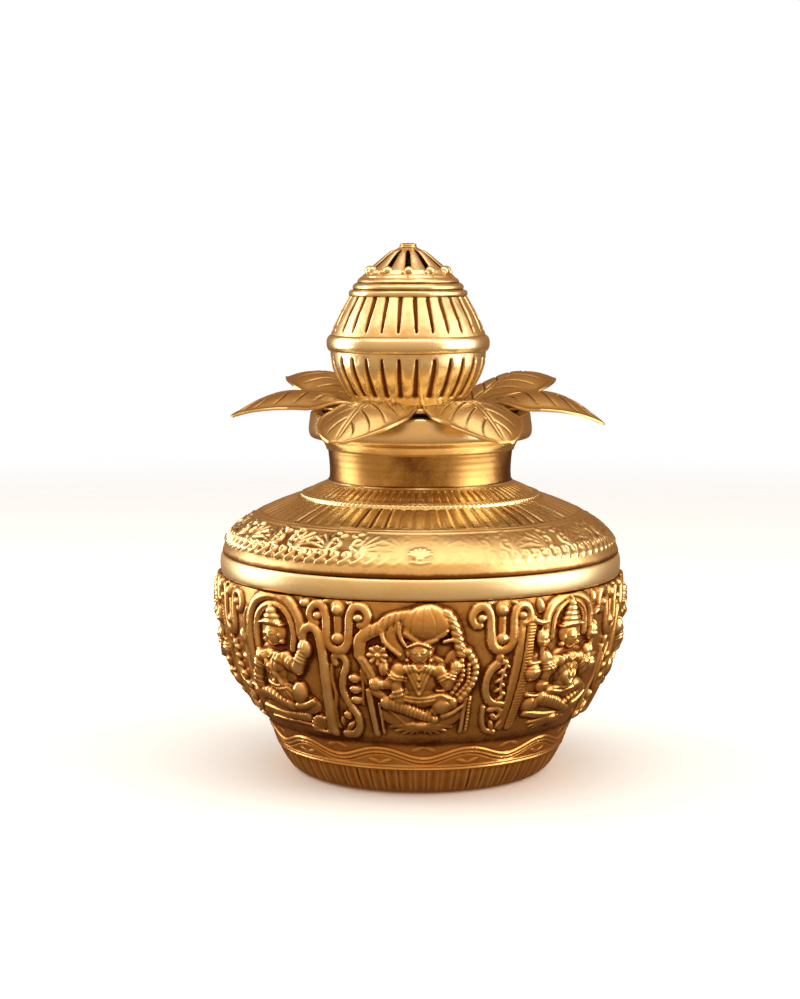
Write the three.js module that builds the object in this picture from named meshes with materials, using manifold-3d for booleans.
// A brass kalash: a squat water pot whose mouth carries a crown of seven
// leaves, with a hollow brass coconut standing in the middle of the crown.
// Millimetres, +Z up. The origin is the centre of the flat base, and the
// front faces -Y. Three groups can be lifted apart: pot, leaf crown, coconut.

import * as THREE from 'three';
import { mergeVertices } from 'three/addons/utils/BufferGeometryUtils.js';
import Module from 'manifold-3d';

// General dimensions
const GAP = 0.3;              // clearance between pieces that touch
const WALL = 2;               // thickness of the pot's sheet brass
const POT_FACETS = 48;        // flat facets around a turned pot piece
const COCONUT_FACETS = 32;    // the same around the coconut

// Heights above the base where the pot's pieces meet
const WAVE_BOTTOM = 11.3;
const PANEL_BOTTOM = 20.8;
const BELT_BOTTOM = 75;
const BELT_TOP = 83;
const COLLAR_BOTTOM = 104.1;
const COLLAR_TOP = 109.8;
const RIM_BOTTOM = 121.5;
const RIM_TOP = 135.7;
const CROWN_TOP = 137.5;

// Radii of the pot
const FLOOR_RADIUS = 43;
const FOOT_RADIUS = 46;
const WAVE_RADIUS = 54.6;     // lower edge of the waved band
const NECK_RADIUS = 34.7;
const BELT_RADIUS = 75.6;
const COLLAR_RADIUS = 45;
const RIM_RADIUS = 42;
const MOUTH_RADIUS = 37;

// The bowl and the shoulder are quarter ellipses in section
const BOWL = { radius: 73.8, middle: 70, height: 80.7 };
const SHOULDER = { radius: 75.5, middle: 80.9, height: 29.2 };

// Relief panels on the bowl
const PANEL_COUNT = 8;
const PANEL_THICKNESS = 1.9;
const FIGURE_HEIGHT = 2.6;    // how far a figure stands out of its panel

// Leaf crown
const LEAF_THICKNESS = 1.4;
const LEAF_WIDTH = 33;
const LEAF_ROOT = 27;         // distance of a leaf's root from the pot's axis
const LEAF_DROOP = 6.5;       // how far a leaf's margins hang below its midrib
const SEAT_RADIUS = 15.6;     // hole that the coconut's spigot drops into

// Shares of a leaf's full width, from its root to its tip
const LEAF_STATIONS = [0, 0.3, 0.6, 0.85, 1];
const LEAF_SHARES = [0.74, 0.98, 0.86, 0.45, 0.05];

// Each leaf's reach from the axis, the rise of its arch, and the height of its
// tip over its root
const LEAVES = [
  { side: 'front_right', reach: 64, crest: 5, tip: -9.6 },
  { side: 'right', reach: 70, crest: 6.5, tip: -6.5 },
  { side: 'back_right', reach: 67.5, crest: 8, tip: 6.6 },
  { side: 'back', reach: 67, crest: 8, tip: 6.6 },
  { side: 'back_left', reach: 67, crest: 8, tip: 7 },
  { side: 'left', reach: 72, crest: 6.2, tip: -3.8 },
  { side: 'front_left', reach: 64, crest: 5, tip: -9.6 },
];

// Coconut
const COCONUT_OFFSET = -4.6;  // it stands a little to the left of the axis
const SHELL = 1.6;
const COCONUT_BASE = CROWN_TOP + 0.4;
const COCONUT_BELT_BOTTOM = 158.3;
const COCONUT_BELT_TOP = 164.3;
const MOULDING_BOTTOM = 178.8;
const CONE_BOTTOM = 185.9;
const CONE_TOP = 196.4;
const TOTAL_HEIGHT = 198.5;
const CONE_RADIUS = 17.4;
const CONE_TOP_RADIUS = 4.2;
const SLOT_COUNT = 11;
const SLOT_LENGTH = 8.8;
const SLOT_FOOT_WIDTH = 2.6;
const SLOT_TOP_WIDTH = 1.3;
const BUTTON_RADIUS = 3.2;

const wasm = await Module();
wasm.setup();

// ---------------------------------------------------------------- shapes

function loopOf(points) {
  return points.map(([radius, height]) => new THREE.Vector2(radius, height));
}

// A ring turned about Z. The outer line runs upwards, the inner one down.
function turnedRing(outer, inner, facets = POT_FACETS) {
  const geometry = new THREE.LatheGeometry(loopOf([...outer, ...inner, outer[0]]), facets);
  return geometry.rotateX(Math.PI / 2);
}

// A solid turned about Z. The outline runs upwards from axis to axis.
function turnedSolid(outline, facets = POT_FACETS) {
  return new THREE.LatheGeometry(loopOf(outline), facets).rotateX(Math.PI / 2);
}

// Points on a smooth line through a few given ones
function smoothLine(points, count) {
  return new THREE.SplineCurve(loopOf(points)).getPoints(count).map((p) => [p.x, p.y]);
}

// The same line moved towards the axis and run the other way
function innerLine(outer, thickness) {
  return outer.map(([radius, height]) => [radius - thickness, height]).reverse();
}

function bowlRadius(height) {
  const part = (height - BOWL.middle) / BOWL.height;
  return BOWL.radius * Math.sqrt(1 - part * part);
}

function shoulderHeight(radius) {
  const part = radius / SHOULDER.radius;
  return SHOULDER.middle + SHOULDER.height * Math.sqrt(1 - part * part);
}

function toSolid(geometry) {
  const bare = geometry.clone();
  bare.deleteAttribute('normal');
  bare.deleteAttribute('uv');
  const merged = mergeVertices(bare, 1e-3);
  return new wasm.Manifold(new wasm.Mesh({
    numProp: 3,
    vertProperties: new Float32Array(merged.attributes.position.array),
    triVerts: new Uint32Array(merged.index.array),
  }));
}

function toGeometry(solid) {
  const mesh = solid.getMesh();
  const geometry = new THREE.BufferGeometry();
  geometry.setAttribute('position', new THREE.BufferAttribute(mesh.vertProperties, 3));
  geometry.setIndex(new THREE.BufferAttribute(mesh.triVerts, 1));
  return geometry;
}

// ------------------------------------------------------------- materials

function brass(colour, roughness) {
  return new THREE.MeshStandardMaterial({ color: colour, roughness, metalness: 1 });
}

const satinBrass = () => brass(0xd9b266, 0.35);
const polishedBrass = () => brass(0xe0b45a, 0.2);
const darkBrass = () => brass(0xb57a35, 0.42);
const leafBrass = () => brass(0xd8bc74, 0.4);

function addPiece(group, name, geometry, material) {
  const mesh = new THREE.Mesh(geometry, material);
  mesh.name = name;
  group.add(mesh);
  return mesh;
}

// ------------------------------------------------------------------- pot

function basePlate() {
  const edge = FLOOR_RADIUS - GAP;
  return turnedSolid([[0, 0], [edge, 0], [edge, WALL], [0, WALL]]);
}

// A shallow pan whose outside flares upwards from the flat base
function footRing() {
  const top = WAVE_BOTTOM - GAP;
  const outer = [[FOOT_RADIUS, 0], [FOOT_RADIUS + 2.6, 1], [FOOT_RADIUS + 5.6, 5.6],
    [WAVE_RADIUS, top]];
  const inner = [[WAVE_RADIUS - WALL, top], [FOOT_RADIUS + 1.2, WALL], [FLOOR_RADIUS, WALL],
    [FLOOR_RADIUS, 0]];
  return turnedRing(outer, inner);
}

// The waved band and, above it, the plain wall that carries the panels
function lowerBowl() {
  const outer = [[WAVE_RADIUS, WAVE_BOTTOM], [bowlRadius(PANEL_BOTTOM), PANEL_BOTTOM]];
  const rows = 6;
  const step = (BELT_BOTTOM - GAP - PANEL_BOTTOM) / rows;
  for (let row = 1; row <= rows; row += 1) {
    const height = PANEL_BOTTOM + row * step;
    outer.push([bowlRadius(height), height]);
  }
  return turnedRing(outer, innerLine(outer, WALL));
}

// One cast plaque: a curved plate with a figure swelling out of its middle
function reliefPanel(direction) {
  const bottom = PANEL_BOTTOM + GAP;
  const top = BELT_BOTTOM - GAP;
  const edge = 0.994;         // leaves the joint between two plaques
  const sweep = (2 * Math.PI * edge) / PANEL_COUNT;
  const geometry = new THREE.BoxGeometry(1, 1, 1, 6, 8, 1);
  const place = geometry.attributes.position;
  for (let i = 0; i < place.count; i += 1) {
    const across = place.getX(i);
    const up = place.getY(i);
    const front = place.getZ(i) > 0;
    const height = THREE.MathUtils.lerp(bottom, top, up + 0.5);
    const swell = Math.cos(Math.PI * across) * Math.cos(Math.PI * up);
    const proud = front ? PANEL_THICKNESS + FIGURE_HEIGHT * swell : 0;
    const radius = bowlRadius(height) + GAP + proud;
    const angle = direction + across * sweep;
    place.setXYZ(i, radius * Math.sin(angle), -radius * Math.cos(angle), height);
  }
  return geometry;
}

// The rounded band brazed over the joint between bowl and shoulder
function seamBelt() {
  const outer = [[BELT_RADIUS - 1.4, BELT_BOTTOM], [BELT_RADIUS - 0.3, BELT_BOTTOM + 1.4],
    [BELT_RADIUS, BELT_BOTTOM + 4], [BELT_RADIUS - 0.3, BELT_TOP - 1.4],
    [BELT_RADIUS - 1, BELT_TOP]];
  const inside = BELT_RADIUS - 4;
  return turnedRing(outer, [[inside, BELT_TOP], [inside, BELT_BOTTOM]]);
}

// A domed shell with a short upright skirt that stands on the belt
function shoulder() {
  const skirt = [[BELT_RADIUS - 0.6, BELT_TOP + GAP], [BELT_RADIUS - 1.2, BELT_TOP + 3]];
  const dome = [73.8, 70, 65, 58, 50, 43, 36.5].map((r) => [r, shoulderHeight(r)]);
  const flatTop = COLLAR_BOTTOM - GAP;
  const outer = [...skirt, ...dome.map(([r, z]) => [r, Math.min(z, flatTop)])];
  const inner = outer.map(([r, z], i) => (i < 3 ? [r - WALL, z] : [r - 0.4, z - WALL])).reverse();
  inner[0] = [36.5, flatTop - WALL];
  return turnedRing(outer, inner);
}

// The fluted collar at the foot of the neck
function collarRing() {
  const outer = [[COLLAR_RADIUS, COLLAR_BOTTOM], [COLLAR_RADIUS - 0.5, COLLAR_BOTTOM + 1.2],
    [COLLAR_RADIUS - 3.4, COLLAR_BOTTOM + 3], [NECK_RADIUS + GAP, COLLAR_TOP]];
  return turnedRing(outer, [[NECK_RADIUS + GAP, COLLAR_BOTTOM]]);
}

function neckTube() {
  const bottom = COLLAR_BOTTOM - WALL - GAP;
  const top = RIM_BOTTOM - GAP;
  const outer = [[NECK_RADIUS, bottom], [NECK_RADIUS, top]];
  return turnedRing(outer, innerLine(outer, WALL + 0.3));
}

// The heavy mouth ring, coved underneath and flat on top
function rimRing() {
  const outer = [[NECK_RADIUS + 0.5, RIM_BOTTOM], [37.6, RIM_BOTTOM + 2.4],
    [RIM_RADIUS - 0.6, RIM_BOTTOM + 5.2], [RIM_RADIUS, RIM_BOTTOM + 7],
    [RIM_RADIUS - 0.6, RIM_TOP - 0.7], [RIM_RADIUS - 1.2, RIM_TOP]];
  const inner = [[MOUTH_RADIUS, RIM_TOP], [MOUTH_RADIUS, RIM_BOTTOM + 6.5],
    [NECK_RADIUS - WALL - 0.3, RIM_BOTTOM + 3], [NECK_RADIUS - WALL - 0.3, RIM_BOTTOM]];
  return turnedRing(outer, inner);
}

function buildPot() {
  const group = new THREE.Group();
  addPiece(group, 'base_plate', basePlate(), darkBrass());
  addPiece(group, 'foot_ring', footRing(), darkBrass());
  addPiece(group, 'lower_bowl', lowerBowl(), darkBrass());
  const sides = ['front', 'front_right', 'right', 'back_right', 'back', 'back_left', 'left',
    'front_left'];
  sides.forEach((side, i) => {
    const direction = (2 * Math.PI * i) / PANEL_COUNT;
    addPiece(group, `relief_panel_${side}`, reliefPanel(direction), darkBrass());
  });
  addPiece(group, 'seam_belt', seamBelt(), satinBrass());
  addPiece(group, 'shoulder', shoulder(), satinBrass());
  addPiece(group, 'collar_ring', collarRing(), satinBrass());
  addPiece(group, 'neck_tube', neckTube(), polishedBrass());
  addPiece(group, 'rim_ring', rimRing(), polishedBrass());
  return group;
}

// ------------------------------------------------------------ leaf crown

function crownPlate() {
  const edge = MOUTH_RADIUS - 0.4;
  const bottom = RIM_TOP + 0.5;
  const outer = [[edge, bottom], [edge, CROWN_TOP]];
  return turnedRing(outer, [[SEAT_RADIUS, CROWN_TOP], [SEAT_RADIUS, bottom]]);
}

// The short tube under the plate that keeps the crown centred in the mouth
function crownSkirt() {
  const outside = MOUTH_RADIUS - 0.8;
  const top = RIM_TOP + 0.5 - GAP;
  const outer = [[outside, RIM_BOTTOM + 8], [outside, top]];
  return turnedRing(outer, innerLine(outer, 1.4));
}

// A leaf lies outward along +X: a flat bar, then narrowed and arched, with its
// margins hanging down on both sides of the midrib
function leaf({ reach, crest, tip }) {
  const width = new THREE.CubicInterpolant(LEAF_STATIONS, LEAF_SHARES, 1);
  const length = reach - LEAF_ROOT;
  const flatShare = 0.45;     // the part at the root where the margins are still level
  const middle = CROWN_TOP + GAP + LEAF_THICKNESS / 2;
  const geometry = new THREE.BoxGeometry(1, 1, LEAF_THICKNESS, 10, 6, 1);
  const place = geometry.attributes.position;
  for (let i = 0; i < place.count; i += 1) {
    const along = place.getX(i) + 0.5;
    const across = 2 * place.getY(i);
    const share = width.evaluate(along)[0];
    const lift = crest * Math.sin(Math.PI * along) + tip * along * along;
    const hang = THREE.MathUtils.smoothstep(along, 0, flatShare) * share ** 1.5;
    const height = middle + lift - LEAF_DROOP * hang * across * across;
    const side = (across * LEAF_WIDTH * share) / 2;
    place.setXYZ(i, LEAF_ROOT + along * length, side, height + place.getZ(i));
  }
  return geometry;
}

function buildLeafCrown() {
  const group = new THREE.Group();
  addPiece(group, 'crown_plate', crownPlate(), leafBrass());
  addPiece(group, 'crown_skirt', crownSkirt(), leafBrass());
  LEAVES.forEach((shape, i) => {
    const mesh = addPiece(group, `leaf_${shape.side}`, leaf(shape), leafBrass());
    const fromFront = (2 * Math.PI * (i + 0.5)) / LEAVES.length;
    mesh.rotation.z = fromFront - Math.PI / 2;
  });
  return group;
}

// --------------------------------------------------------------- coconut

// The short tube that drops through the hole in the crown plate
function coconutSpigot() {
  const outer = [[10.5, RIM_BOTTOM + 9.5], [10.5, COCONUT_BASE - GAP]];
  return turnedRing(outer, innerLine(outer, SHELL), COCONUT_FACETS);
}

function coconutCup() {
  const top = COCONUT_BELT_BOTTOM - GAP;
  const side = smoothLine([[21.3, 139.4], [24.2, 143.6], [27.4, 148.6], [29.2, top]], 5);
  const inside = side.slice(1).map(([r, z]) => [r - SHELL, z]).reverse();
  const outline = [[0, COCONUT_BASE], [20.4, COCONUT_BASE], ...side, ...inside,
    [19.4, COCONUT_BASE + SHELL], [0, COCONUT_BASE + SHELL]];
  return turnedSolid(outline, COCONUT_FACETS);
}

function coconutBelt() {
  const outer = [[29.6, COCONUT_BELT_BOTTOM], [30.5, 159.9], [30.6, 161.8],
    [29.5, COCONUT_BELT_TOP]];
  const inner = [[27.2, COCONUT_BELT_TOP], [27.2, COCONUT_BELT_BOTTOM]];
  return turnedRing(outer, inner, COCONUT_FACETS);
}

function coconutDome() {
  const bottom = COCONUT_BELT_TOP + GAP;
  const top = MOULDING_BOTTOM - GAP;
  const outer = smoothLine([[28.8, bottom], [27.4, 168.5], [25.3, 172.8], [22.1, top]], 4);
  return turnedRing(outer, innerLine(outer, SHELL), COCONUT_FACETS);
}

// Stacked rounded rings between the dome and the petal cone
function coconutMoulding() {
  const top = CONE_BOTTOM - GAP;
  const outer = [[22.1, MOULDING_BOTTOM], [21.9, 180.2], [20.2, 181.4], [20, 182.9],
    [18.4, 183.8], [18.1, top]];
  const inner = [[16.4, top], [16.6, 183.4], [19, 180.6], [20.4, MOULDING_BOTTOM]];
  return turnedRing(outer, inner, COCONUT_FACETS);
}

// One piercing of the cone: narrow at the top and wider at the foot
function slotCutter(turn) {
  const foot = SLOT_FOOT_WIDTH / 2;
  const top = SLOT_TOP_WIDTH / 2;
  const outline = loopOf([[0, -foot], [SLOT_LENGTH, -top], [SLOT_LENGTH, top], [0, foot]]);
  const depth = 12;
  const options = { depth, bevelEnabled: false };
  const geometry = new THREE.ExtrudeGeometry(new THREE.Shape(outline), options);
  const slope = Math.atan2(CONE_TOP - CONE_BOTTOM, CONE_RADIUS - CONE_TOP_RADIUS);
  const start = 2.4;          // solid rim left below the slots
  geometry.translate(start, 0, -depth / 2);
  geometry.rotateY(slope - Math.PI);
  geometry.translate(CONE_RADIUS, 0, CONE_BOTTOM);
  geometry.rotateZ(turn);
  return geometry;
}

// A cone of straps that close over the top like petals
function petalCone() {
  const outer = [[CONE_RADIUS, CONE_BOTTOM], [14.5, 188.2], [8.7, 193.2],
    [CONE_TOP_RADIUS, CONE_TOP]];
  const inner = [[CONE_TOP_RADIUS - 1.4, CONE_TOP], [7.4, 192.3], [12.9, 187.6],
    [CONE_RADIUS - 1.7, CONE_BOTTOM]];
  let cone = toSolid(turnedRing(outer, inner, COCONUT_FACETS));
  for (let slot = 0; slot < SLOT_COUNT; slot += 1) {
    const turn = (2 * Math.PI * slot) / SLOT_COUNT - Math.PI / 2;
    cone = cone.subtract(toSolid(slotCutter(turn)));
  }
  return toGeometry(cone);
}

function finialButton() {
  const bottom = CONE_TOP + GAP;
  const outline = [[0, bottom], [BUTTON_RADIUS - 0.1, bottom], [BUTTON_RADIUS, 197.6],
    [1.8, TOTAL_HEIGHT], [0, TOTAL_HEIGHT]];
  return turnedSolid(outline, 20);
}

function buildCoconut() {
  const group = new THREE.Group();
  group.position.x = COCONUT_OFFSET;
  addPiece(group, 'coconut_spigot', coconutSpigot(), satinBrass());
  addPiece(group, 'coconut_cup', coconutCup(), satinBrass());
  addPiece(group, 'coconut_belt', coconutBelt(), satinBrass());
  addPiece(group, 'coconut_dome', coconutDome(), satinBrass());
  addPiece(group, 'coconut_moulding', coconutMoulding(), satinBrass());
  addPiece(group, 'petal_cone', petalCone(), satinBrass());
  addPiece(group, 'finial_button', finialButton(), polishedBrass());
  return group;
}

const kalash = new THREE.Group();
kalash.add(buildPot(), buildLeafCrown(), buildCoconut());

export default kalash;
